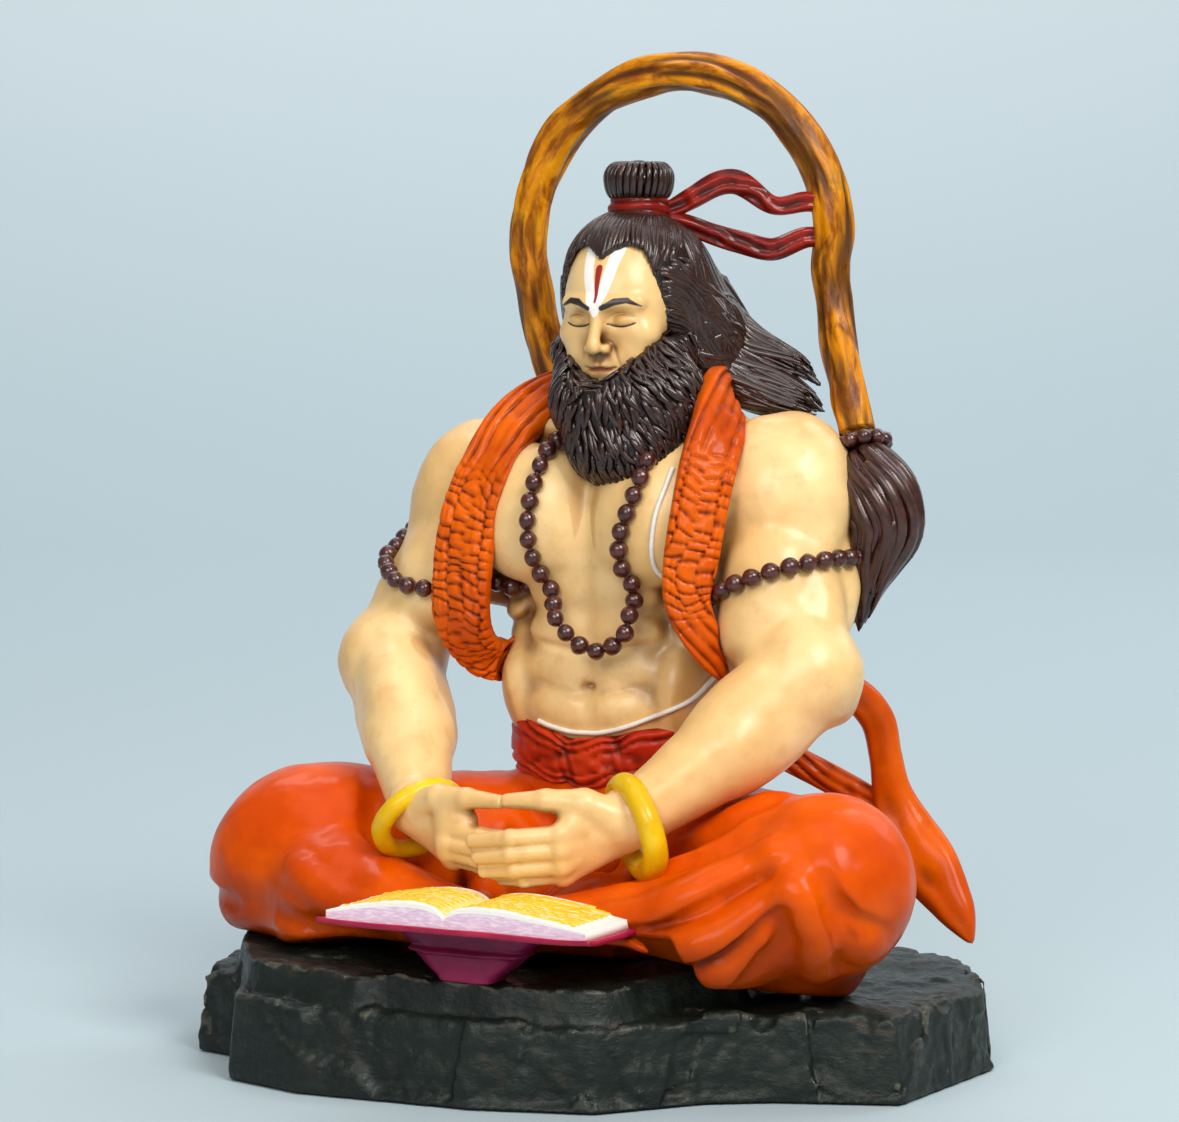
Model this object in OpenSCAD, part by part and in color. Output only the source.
// A seated deity figurine: a cast and painted figure in many glued pieces, on a rock base.
// Millimetres, +Z up. The figure looks along -Y, and its own left is +X.
// The origin is on the surface it stands on, under the middle of the base.

/* [Overall] */
// Height from the surface it stands on to the top of the tail
total_h = 127; // [100:1:160]

/* [Base] */
// Height of the base's lower tier
rim_h = 10.5; // [9:0.5:11]
// Height of the base's plateau, where the figure sits
plateau_h = 14.5; // [14:0.5:15]
// Thickness of the foam pad let into the underside
pad_t = 1; // [0.8:0.1:2]

/* [Tail] */
// Diameter of the tail
tail_d = 4.8; // [4:0.2:6]
// Radius of the arch that the tail makes over the head
arch_r = 22.2; // [21.8:0.2:22.6]

/* [Ornaments] */
// Diameter of a necklace bead
bead_d = 2; // [1.6:0.1:2.2]
// Diameter of an arm band's bead
armband_bead_d = 2.1; // [1.8:0.1:2.4]
// Diameter of the wrist rings' bar
bangle_bar_d = 2.3; // [1.8:0.1:2.6]
// Outside diameter of the wrist rings
bangle_d = 13.5; // [13:0.5:15]

/* [Book] */
// Width of the open book
book_w = 35; // [30:1:36]
// Depth of the open book
book_d = 14; // [12:1:16]

/* [Joints] */
// Diameter of the steel dowels that locate the glued pieces
dowel_d = 2; // [1.5:0.5:2.5]
// Clearance between a dowel and its hole, on the radius
dowel_gap = 0.05; // [0.03:0.01:0.1]

/* [Hidden] */
k = total_h / 127;
ROUND = 20;
FINE = 48;
LEG_SIDES = 18;
SIDES = 12;
BAND_SIDES = 10;
EPS = 0.01;

// Figure: [x, y, z, radius] down each limb. The right limbs are given as left ones and mirrored.
ARM_LEFT = [[22.4, 10.6, 73, 8.1], [24.8, 6, 61, 8.2], [29, 1, 49.4, 7.6], [22.6, -7.5, 40.6, 6.6], [14.6, -17, 33.2, 4]];
ARM_RIGHT = [[20.8, 10.6, 71.4, 8], [23.8, 6.4, 60.4, 7.2], [29.2, 1, 48.6, 7.9], [21.8, -7.6, 40, 7.2], [14.8, -17, 32.6, 4]];
LEG_LEFT = [[13, 6, 25, 10], [37.3, -9.5, 24.4, 11.3], [26, -18, 20, 7.6], [9, -24, 18, 4.6]];
LEG_RIGHT = [[13, 6, 24.6, 10], [37.8, -9.5, 23.6, 11.1], [26, -18, 20, 7.6], [9, -24, 18, 4.6]];
WAIST = [0, 8, 40];
CHEST = [8, 8, 68];
NECK = [0.6, 11, 80];
HEAD = [1.4, 9, 95];

// Tail: up from the small of the back, over the head as a half circle, and down beside the left arm.
arch_y = 22;
arch_x = 1.6;
arch_z = 127 - tail_d / 2 - arch_r;
TAIL_ROOT = [[-3, 18.5, 48], [-8, 22.5, 62], [-14.5, 23.5, 78], [-19.5, 22.8, 92]];
TAIL_END = [[24.8, 21, 95], [26.8, 18.5, 87], [30, 15.5, 78]];
TUFT = [[31.6, 14, 76, 3.2], [33.6, 13, 71.5, 4.6], [35.2, 12.6, 67, 4.4], [32.8, 12.2, 61, 2.7], [31.8, 12, 55, 1.2]];

// Ribbons: [x, y, z, half width, half thickness] from the band to behind the tail.
RIBBON_UPPER = [[4.4, 12.5, 106, 1.1, 0.8], [8, 14.5, 107.4, 1.3, 0.9], [12.5, 16.4, 108.7, 1.5, 0.9],
    [16.8, 18, 106.6, 1.2, 0.9], [20.5, 20, 107.2, 1.2, 0.8], [23.4, 22, 106.4, 1, 0.8]];
RIBBON_LOWER = [[4.4, 12.5, 105, 1.1, 0.8], [8.5, 14.5, 104.2, 1.2, 0.9], [13, 16.4, 102.4, 1.4, 0.9],
    [17, 18, 101.4, 1.4, 0.9], [20.8, 20, 103, 1.3, 0.8], [23.8, 22, 102.6, 1.1, 0.8]];

// Shawl: [x, y, z, half width, half thickness].
SHAWL_RIGHT = [[-8.6, 8, 83.5, 3, 1.6], [-12.6, 2.6, 78.8, 3.8, 1.5], [-15.6, -1.6, 72, 4.4, 1.3],
    [-17.6, -3.4, 64, 4.3, 1.3], [-18.2, -3, 56.5, 4, 1.3], [-17.2, 0, 50.6, 3.2, 1.3], [-14.2, 6, 49.6, 2.6, 1.1]];
SHAWL_LEFT = [[11.6, 8.5, 83.5, 3, 1.6], [14, 2.4, 78.8, 4.4, 1.5], [14, -2.4, 71, 4.6, 1.3],
    [14, -4, 62, 4.3, 1.3], [15.8, -3, 54.5, 3.4, 1.3], [19.5, 2.5, 48, 2, 1.1]];
SHAWL_COLLAR = [[-8.6, 9, 84.2, 2.8, 1.6], [-6.5, 17, 82.6, 3, 1.5], [1, 20.2, 81.2, 3.2, 1.4],
    [9, 17.5, 82.6, 3, 1.5], [11.8, 9.5, 84.2, 2.8, 1.6]];
SHAWL_END = [[25, 14, 45.5, 2, 1.3], [29.6, 18.5, 43.6, 2.6, 1.6], [31.8, 20.8, 36, 2.9, 1.7],
    [34.6, 20.6, 29, 4.2, 1.8], [39.4, 18.5, 22, 3.6, 1.7], [42.6, 17.5, 15.6, 1.5, 1.2]];
SHAWL_FOLD = [[17.5, 16.5, 38, 1.8, 1.2], [22.8, 19.6, 35, 2, 1.3], [29, 21, 31.6, 2.1, 1.3]];

// Necklace: bead centres follow this curve over the chest, from one side of the beard to the other.
NECKLACE = [[-5, 0, 80.5], [-6.6, -2.4, 73], [-7.4, -4.4, 66], [-5.4, -4.4, 59.4], [-1, -3.6, 54],
    [3.6, -3.6, 52.6], [7.2, -4, 56.4], [6.6, -4.8, 63], [7.8, -3.4, 70.6], [9.8, -0.8, 77]];
THREAD = [[11.6, -1.4, 74, 0.45, 0.35], [10.8, -3.6, 67, 0.45, 0.35], [11.4, -3.6, 60, 0.45, 0.35],
    [14, -0.6, 53, 0.45, 0.35], [12.6, 0, 47.6, 0.45, 0.35], [7.6, -2.2, 44.6, 0.45, 0.35], [1, -3.2, 43.4, 0.45, 0.35],
    [-6, -2, 44.2, 0.45, 0.35]];

// Arm bands: centre of each ring of beads, the way its axis points, and the ring's radius.
BAND_LEFT = [[24.9, 5.8, 61], [0.36, -0.1, -1], 8.9];
BAND_RIGHT = [[-24.2, 6.2, 61.2], [-0.12, 0.42, -1], 8.1];
// Wrist rings: centre and axis.
BANGLE_LEFT = [[14.9, -16.8, 32.4], [-0.62, -0.66, -0.42]];
BANGLE_RIGHT = [[-15.4, -17, 31.8], [0.56, -0.66, -0.5]];

book_y = -30.6;
book_z = 21.4;
cover_t = 0.8;
page_rise = 3;

OUTLINE = [[-49.5, -8], [-44, -22], [-38, -23.5], [-31, -35], [-20, -38], [3, -36.4], [17, -32], [26, -21],
    [33, -16.5], [47, -11], [49.5, 13], [39, 31], [21, 38], [-14, 37], [-37, 30], [-48, 10]];
PLATEAU = [[-45, -8], [-38, -22.5], [-27, -32], [-12, -34.5], [2, -33], [15.5, -29.5], [21, -20],
    [24, 0], [22, 22], [8, 33], [-14, 33], [-34, 25], [-44, 8]];

// ---- Helpers ----

function unit(v) = v / norm(v);
function xyz(p) = [p.x, p.y, p.z];
function mirrored(points) = [for (p = points) concat([-p.x], [for (i = [1:len(p) - 1]) p[i]])];

// One point of a Catmull-Rom span from b to c.
function span(a, b, c, d, t) =
    0.5 * (2 * b + (c - a) * t + (2 * a - 5 * b + 4 * c - d) * t * t + (3 * b - a - 3 * c + d) * t * t * t);
// A smooth curve through the points p, with n steps in each span.
function spline(p, n) = [
    for (i = [0:len(p) - 2]) for (s = [0:n - 1])
        span(p[max(i - 1, 0)], p[i], p[i + 1], p[min(i + 2, len(p) - 1)], s / n),
    p[len(p) - 1]
];
function tangent(p, i) = unit(xyz(p[min(i + 1, len(p) - 1)]) - xyz(p[max(i - 1, 0)]));
// The point that lies s along the line through the points p.
function at_length(p, s, i = 1) =
    let (step = norm(p[i] - p[i - 1]))
    s <= step || i == len(p) - 1 ? p[i - 1] + (p[i] - p[i - 1]) * min(s / step, 1) : at_length(p, s - step, i + 1);
function curve_length(p, i = 1) = i >= len(p) ? 0 : norm(p[i] - p[i - 1]) + curve_length(p, i + 1);

// A closed band along path, whose points are [x, y, z, half width, half thickness].
// Its thickness faces the vector that "faces" gives for each point.
module band(path, faces, sides = BAND_SIDES) {
    rings = [
        for (i = [0:len(path) - 1])
            let (t = tangent(path, i), across = unit(cross(t, faces(path[i]))), out = cross(across, t))
            for (a = [0:sides - 1])
                xyz(path[i]) + across * path[i][3] * cos(a * 360 / sides) + out * path[i][4] * sin(a * 360 / sides)
    ];
    last = (len(path) - 1) * sides;
    walls = [
        for (i = [0:len(path) - 2]) for (a = [0:sides - 1])
            let (b = (a + 1) % sides)
            [i * sides + a, i * sides + b, (i + 1) * sides + b, (i + 1) * sides + a]
    ];
    ends = [[for (a = [sides - 1:-1:0]) a], [for (a = [0:sides - 1]) last + a]];
    polyhedron(rings, concat(walls, ends), convexity = 6);
}

// Balls of points [x, y, z, radius] joined in a row, each pair by its own skin.
module limb(points, sides = ROUND) {
    for (i = [0:len(points) - 2])
        hull() for (p = [points[i], points[i + 1]]) translate(xyz(p)) sphere(r = p[3], $fn = sides);
}

// All the balls in one skin.
module blob(points, sides = ROUND) {
    hull() for (p = points) translate(xyz(p)) sphere(r = p[3], $fn = sides);
}

// Both the shape and its mirror image across the figure's middle.
module both_sides() {
    children();
    mirror([1, 0, 0]) children();
}

// Turns +Z to point along v.
module along(v) {
    rotate([0, acos(v.z / norm(v)), atan2(v.y, v.x)]) children();
}

// ---- Dowels: [foot, direction, length] ----

DOWELS = [
    [[0, 10, 10.5], [0, 0, 1], 8],
    [[-26, -4, 10.5], [0, 0, 1], 8],
    [[32, -5, 6.5], [0, 0, 1], 8],
    [[0, 9, 36], [0, 0, 1], 9],
    [[0.9, 11, 81], [0, 0, 1], 8],
    [[1.4, 11, 101.5], [0, 0, 1], 5.5],
    [[0, -30.6, 12], [0, 0, 1], 6]
];

module dowel_at(d, extra = 0) {
    translate(d[0]) along(d[1]) translate([0, 0, -extra])
        cylinder(d = dowel_d + (extra > 0 ? 2 * dowel_gap : 0), h = d[2] + 2 * extra, $fn = 24);
}
module dowels() color("silver") for (d = DOWELS) dowel_at(d);
module dowel_holes() for (d = DOWELS) dowel_at(d, 0.3);

// ---- Base ----

module tier(outline, low, high, share = 1) {
    translate([0, 0, low]) linear_extrude(high - low) scale(share) polygon(outline);
}
module base_rock() color([0.14, 0.18, 0.17]) difference() {
    union() {
        tier(OUTLINE, 0.2, rim_h);
        tier(PLATEAU, rim_h - 1, plateau_h - 1.6);
        tier(PLATEAU, plateau_h - 2, plateau_h, 0.965);
    }
    tier(OUTLINE, -1, pad_t, 0.9);
    dowel_holes();
}
module base_pad() color("dimgray") tier(OUTLINE, 0, pad_t, 0.895);

// ---- Lower body ----

module leg_form(points = LEG_LEFT) {
    limb(points, LEG_SIDES);
    blob([points[0], [31, -6, 17, 6.8], [26, 4, 18, 6]], LEG_SIDES);
}
module under_cut() translate([-60, -60, -EPS]) cube([120, 120, plateau_h + 2 * EPS]);

module lap_form() {
    blob([[8, 10, 24, 9.5], [-8, 10, 24, 9.5], [7, 16, 23, 8], [-7, 16, 23, 8], [0, 8, 31, 9]]);
    blob([[6, -6, 19, 5], [-6, -6, 19, 5], [8, -16, 17.5, 3.5], [-8, -16, 17.5, 3.5]]);
    blob([[0, 4, 22, 5], [0, -8, 20, 5]]);
    translate([0, 8, 28]) cylinder(r = 8.5, h = 10, $fn = FINE);
}
module lap() color("orangered") difference() {
    lap_form();
    leg_form(LEG_LEFT);
    mirror([1, 0, 0]) leg_form(LEG_RIGHT);
    under_cut();
    dowel_holes();
}
module leg(points, knee_floor) difference() {
    leg_form(points);
    translate([-40, -60, -60]) cube([40.05, 120, 120]);
    translate([-60, -60, -EPS]) cube([84, 120, plateau_h + 2 * EPS]);
    translate([-60, -60, -EPS]) cube([120, 120, knee_floor + 2 * EPS]);
}
module leg_left() color("orangered") difference() {
    leg(LEG_LEFT, rim_h);
    dowel_holes();
}
module leg_right() color("orangered") difference() {
    mirror([1, 0, 0]) leg(LEG_RIGHT, plateau_h);
    dowel_holes();
}
HEM = [[11, -27.6, 18.4, 1.8, 1.2], [16, -28, 19, 1.8, 1.1], [21.6, -27.4, 18.4, 0.9, 0.7]];
module dhoti_hem() color("darkorange") difference() {
    band(spline(HEM, 4), function(p) [0, 0.3, 1]);
    leg_form();
}

// Oval prism, as the waist is: half widths a and b, made as two discs in one skin.
module oval(a, b, low, high) {
    hull() both_sides() translate([a - b, WAIST.y, low]) cylinder(r = b, h = high - low, $fn = 32);
}
module waist_sash() color([0.72, 0.13, 0.1]) difference() {
    hull() {
        oval(13.6, 10.4, 35.6, 38);
        oval(13.9, 10.7, 38, 41);
        oval(13.2, 10.1, 41, 43.6);
    }
    translate([0, 0, -1]) oval(12.2, 9.1, 30, 50);
}

// ---- Upper body ----

module back_form() {
    hull() {
        oval(11.9, 9, 38, 42);
        both_sides() translate([4.6, 8, 54]) sphere(r = 9.6, $fn = ROUND);
    }
    hull() both_sides() {
        translate([4.6, 8, 54]) sphere(r = 9.6, $fn = ROUND);
        translate(CHEST) sphere(r = 10.8, $fn = ROUND);
    }
}
module torso_form() {
    back_form();
    hull() both_sides() {
        translate(CHEST) sphere(r = 10.8, $fn = ROUND);
        translate([12, 11, 75.5]) sphere(r = 5.6, $fn = ROUND);
    }
    hull() {
        translate(NECK) sphere(r = 6.4, $fn = ROUND);
        both_sides() translate([9, 11, 76.5]) sphere(r = 4.8, $fn = ROUND);
    }
    hull() {
        translate(NECK) sphere(r = 6.4, $fn = ROUND);
        translate([HEAD.x, 11.5, 86]) sphere(r = 5.6, $fn = ROUND);
    }
}
module torso() color([0.88, 0.7, 0.46]) difference() {
    torso_form();
    head_form();
    translate([0, 0, -2]) oval(14, 11, 30, 40);
    dowel_holes();
}

module arm_form(points = ARM_LEFT) {
    limb(points);
    blob([points[2], (points[2] + points[3]) / 2 + [0, 0, 0.6, 0.2], points[3]]);
}
module arm_left() color([0.88, 0.7, 0.46]) difference() {
    arm_form(ARM_LEFT);
    torso_form();
}
module arm_right() color([0.88, 0.7, 0.46]) difference() {
    mirror([1, 0, 0]) arm_form(ARM_RIGHT);
    torso_form();
}

// A hand in the lap: palm, four fingers laid side by side and a thumb that meets the other one.
module hand_form(finger_y, finger_z) {
    blob([[12.8, -19.4, 32.6, 3.3], [8.4, -22.6, 33.6, 2.6], [8, -23.6, 29.6, 2.8]], 16);
    for (row = [0:3]) {
        tip = [-0.5, finger_y - 0.35 * row, finger_z - 1.55 * row, 0.95];
        blob([[8, -22.8 - 0.4 * row, 33.4 - 1.5 * row, 1.5], tip], 12);
    }
    blob([[9, -21.6, 34.4, 1.7], [4.4, -22.6, 35.6, 1.25]], 12);
    blob([[4.4, -22.6, 35.6, 1.25], [0.75, -22.8, 35.4, 0.75]], 12);
}
module hand_left() color([0.9, 0.75, 0.5]) difference() {
    hand_form(-25.6, 32);
    arm_form();
}
module hand_right() color([0.9, 0.75, 0.5]) difference() {
    mirror([1, 0, 0]) hand_form(-23.4, 31.6);
    hand_form(-25.6, 32);
    mirror([1, 0, 0]) arm_form(ARM_RIGHT);
}

// ---- Head ----

module head_form() {
    blob([[HEAD.x, 9.6, 95.5, 8], [HEAD.x, 4.6, 93, 5.6], [HEAD.x, 3.4, 87, 4.6], [HEAD.x, 8, 86.5, 6]]);
}
module head() color([0.88, 0.72, 0.48]) difference() {
    head_form();
    dowel_holes();
}
module hair_form() {
    blob([[HEAD.x, 10, 96.4, 9], [HEAD.x, 7.4, 98.6, 7], [HEAD.x, 12.6, 93, 8.6]]);
    blob([[HEAD.x, 12.6, 93, 8.6], [HEAD.x + 2, 15, 86, 7.4]]);
    blob([[HEAD.x + 2, 13.6, 97.5, 7.4], [HEAD.x + 7, 15, 91, 5.6], [HEAD.x + 7.5, 14, 86.5, 4]]);
}
module hair() color([0.16, 0.1, 0.08]) difference() {
    hair_form();
    head_form();
    torso_form();
    // The face shows through an opening in front.
    translate([HEAD.x, 2.6, 94.6]) rotate([90, 0, 0]) cylinder(r1 = 6.2, r2 = 8, h = 12, $fn = 32);
    translate([HEAD.x - 12, -12, 70]) cube([24, 15.5, 22]);
    dowel_holes();
}
module beard() color([0.16, 0.1, 0.08]) difference() {
    blob([
        [HEAD.x - 6.4, 5.4, 89.3, 2.8], [HEAD.x + 7.6, 6, 88.8, 3.8],
        [HEAD.x - 2.4, 1.6, 81.8, 6], [HEAD.x + 2.6, 1.6, 81.8, 6], [HEAD.x + 0.4, 0.6, 76.2, 4.4]
    ]);
    head_form();
    torso_form();
    hair_form();
    translate([HEAD.x - 3.63, -12, 84.93]) cube([7.26, 16.2, 20]);
}
module swept_hair() color([0.16, 0.1, 0.08]) difference() {
    limb([[7, 16.6, 92, 3.6], [13, 18, 87.4, 3.8], [19, 18, 84.4, 3.1], [24.4, 17.4, 81.8, 1.3]], 16);
    hair_form();
    torso_form();
    arm_form();
    tail_form();
    shawl_form(SHAWL_COLLAR, AXIS_OUT);
}

module topknot() color([0.16, 0.1, 0.08]) difference() {
    translate([HEAD.x, 11, 106.8]) rotate_extrude($fn = FINE) intersection() {
        hull() {
            translate([2.4, 3.2]) circle(r = 2.1, $fn = 32);
            translate([1.6, 1]) circle(r = 1.6, $fn = 32);
            square([1, 5.9]);
        }
        square([10, 10]);
    }
    dowel_holes();
}
module topknot_band() color([0.75, 0.14, 0.1]) difference() {
    band_form();
    blob([[HEAD.x, 10, 96.4, 9], [HEAD.x, 7.4, 98.6, 7]]);
    dowel_holes();
}
module band_form() translate([HEAD.x, 11, 104.2]) cylinder(r1 = 3.8, r2 = 3.2, h = 2.6, $fn = FINE);

// Which way each band's flat side faces.
AXIS_OUT = function(p) [p.x, p.y - 9, 0.2];
CHEST_OUT = function(p) [0.5 * p.x, p.y - 12, 0.2];
FRONT = function(p) [0.3, -1, 0];

module ribbon(points) difference() {
    band(spline(points, 4), FRONT);
    band_form();
    // The arch of the tail, which the ribbon's end is glued to.
    translate([arch_x, arch_y, arch_z]) rotate([90, 0, 0]) rotate_extrude($fn = FINE)
        translate([arch_r, 0]) circle(d = tail_d, $fn = 24);
}
module ribbon_upper() color([0.72, 0.12, 0.1]) ribbon(RIBBON_UPPER);
module ribbon_lower() color([0.72, 0.12, 0.1]) ribbon(RIBBON_LOWER);

// ---- Tail ----

function arch_point(a) = [arch_x - arch_r * cos(a), arch_y, arch_z + arch_r * sin(a)];
function tail_line() = spline(concat(TAIL_ROOT, [for (a = [0:30:150]) arch_point(a)], [arch_point(174)], TAIL_END), 4);
module tail_form() {
    line = [for (p = tail_line()) concat(p, [tail_d / 2, tail_d / 2])];
    band(line, function(p) [0, 1, 0.05], SIDES);
}
module tail() color([0.66, 0.4, 0.08]) difference() {
    tail_form();
    back_form();
}
module tail_beads() color([0.25, 0.09, 0.08]) {
    count = 10;
    translate([30.4, 15.1, 77]) along([0.36, -0.3, -1])
        for (i = [0:count - 1]) rotate(i * 360 / count) translate([3.3, 0, 0]) sphere(d = 1.9, $fn = 24);
}
module tail_tuft() color([0.2, 0.11, 0.09]) difference() {
    limb(TUFT, 16);
    arm_form();
    tail_form();
}

// ---- Drapery ----

module shawl_form(points, faces) band(spline(points, 4), faces);
module shawl_collar() color([0.92, 0.3, 0.05]) difference() {
    shawl_form(SHAWL_COLLAR, AXIS_OUT);
    torso_form();
    hair_form();
    tail_form();
}
module shawl_right() color([0.92, 0.3, 0.05]) difference() {
    shawl_form(SHAWL_RIGHT, CHEST_OUT);
    torso_form();
    mirror([1, 0, 0]) arm_form(ARM_RIGHT);
    shawl_form(SHAWL_COLLAR, AXIS_OUT);
}
module shawl_left() color([0.92, 0.3, 0.05]) difference() {
    shawl_form(SHAWL_LEFT, CHEST_OUT);
    torso_form();
    arm_form();
    shawl_form(SHAWL_COLLAR, AXIS_OUT);
}
module shawl_end() color([0.92, 0.3, 0.05]) difference() {
    shawl_form(SHAWL_END, FRONT);
    arm_form();
    leg_form();
}
module shawl_fold() color([0.8, 0.2, 0.05]) difference() {
    shawl_form(SHAWL_FOLD, FRONT);
    arm_form();
    leg_form();
    shawl_form(SHAWL_END, FRONT);
}

// ---- Ornaments ----

module necklace() color([0.25, 0.09, 0.08]) {
    line = spline(NECKLACE, 8);
    total = curve_length(line);
    count = floor(total / (bead_d * 1.1));
    for (i = [0:count]) translate(at_length(line, i * total / count)) sphere(d = bead_d, $fn = 24);
}
module armband(place) {
    count = floor(2 * PI * place[2] / (armband_bead_d * 1.06));
    translate(place[0]) along(place[1]) for (i = [0:count - 1])
        rotate(i * 360 / count) translate([place[2], 0, 0]) sphere(d = armband_bead_d, $fn = 24);
}
module armband_left() color([0.25, 0.09, 0.08]) armband(BAND_LEFT);
module armband_right() color([0.25, 0.09, 0.08]) armband(BAND_RIGHT);
module bangle(place) {
    translate(place[0]) along(place[1]) rotate_extrude($fn = FINE)
        translate([(bangle_d - bangle_bar_d) / 2, 0]) circle(d = bangle_bar_d, $fn = 24);
}
module bangle_left() color([0.9, 0.72, 0.1]) bangle(BANGLE_LEFT);
module bangle_right() color([0.9, 0.72, 0.1]) bangle(BANGLE_RIGHT);
module sacred_thread() color("white") difference() {
    shawl_form(THREAD, AXIS_OUT);
    torso_form();
    arm_form();
}

// ---- Book ----

// Cross section of the open pages: two humps that meet in the gutter.
PAGE_STEPS = 8;
function hump(s) = 0.5 + page_rise * pow(sin(180 * pow(s, 0.8)), 0.8) * (1 - 0.25 * s);
page_half = [for (i = [0:PAGE_STEPS]) [i / PAGE_STEPS * book_w * 0.485, hump(i / PAGE_STEPS)]];
module book_pages() color([0.95, 0.88, 0.7]) translate([0, book_y, book_z + cover_t + EPS])
    rotate([90, 0, 0]) linear_extrude(book_d - 1, center = true)
        both_sides() polygon(concat([[0, 0]], [[book_w * 0.485, 0]], [for (i = [PAGE_STEPS:-1:0]) page_half[i]]));
module book_cover() color([0.7, 0.12, 0.3]) translate([-book_w / 2, book_y - book_d / 2, book_z])
    cube([book_w, book_d, cover_t]);
// Folding stand's outline: a small foot under a spread top.
STAND = [[-5.6, 0], [5.6, 0], [5, 1.8], [12.4, 6.86], [-12.4, 6.86], [-5, 1.8]];
module book_stand() color([0.62, 0.14, 0.34]) difference() {
    translate([-1, book_y, plateau_h + EPS]) rotate([90, 0, 0]) linear_extrude(6, center = true) polygon(STAND);
    dowel_holes();
}

scale(k) base_rock();
scale(k) base_pad();
scale(k) lap();
scale(k) leg_right();
scale(k) leg_left();
scale(k) dhoti_hem();
scale(k) waist_sash();
scale(k) torso();
scale(k) arm_right();
scale(k) arm_left();
scale(k) hand_right();
scale(k) hand_left();
scale(k) head();
scale(k) hair();
scale(k) beard();
scale(k) swept_hair();
scale(k) topknot();
scale(k) topknot_band();
scale(k) ribbon_upper();
scale(k) ribbon_lower();
scale(k) tail();
scale(k) tail_beads();
scale(k) tail_tuft();
scale(k) shawl_collar();
scale(k) shawl_right();
scale(k) shawl_left();
scale(k) shawl_end();
scale(k) shawl_fold();
scale(k) necklace();
scale(k) armband_right();
scale(k) armband_left();
scale(k) bangle_right();
scale(k) bangle_left();
scale(k) sacred_thread();
scale(k) book_cover();
scale(k) book_pages();
scale(k) book_stand();
scale(k) dowels();
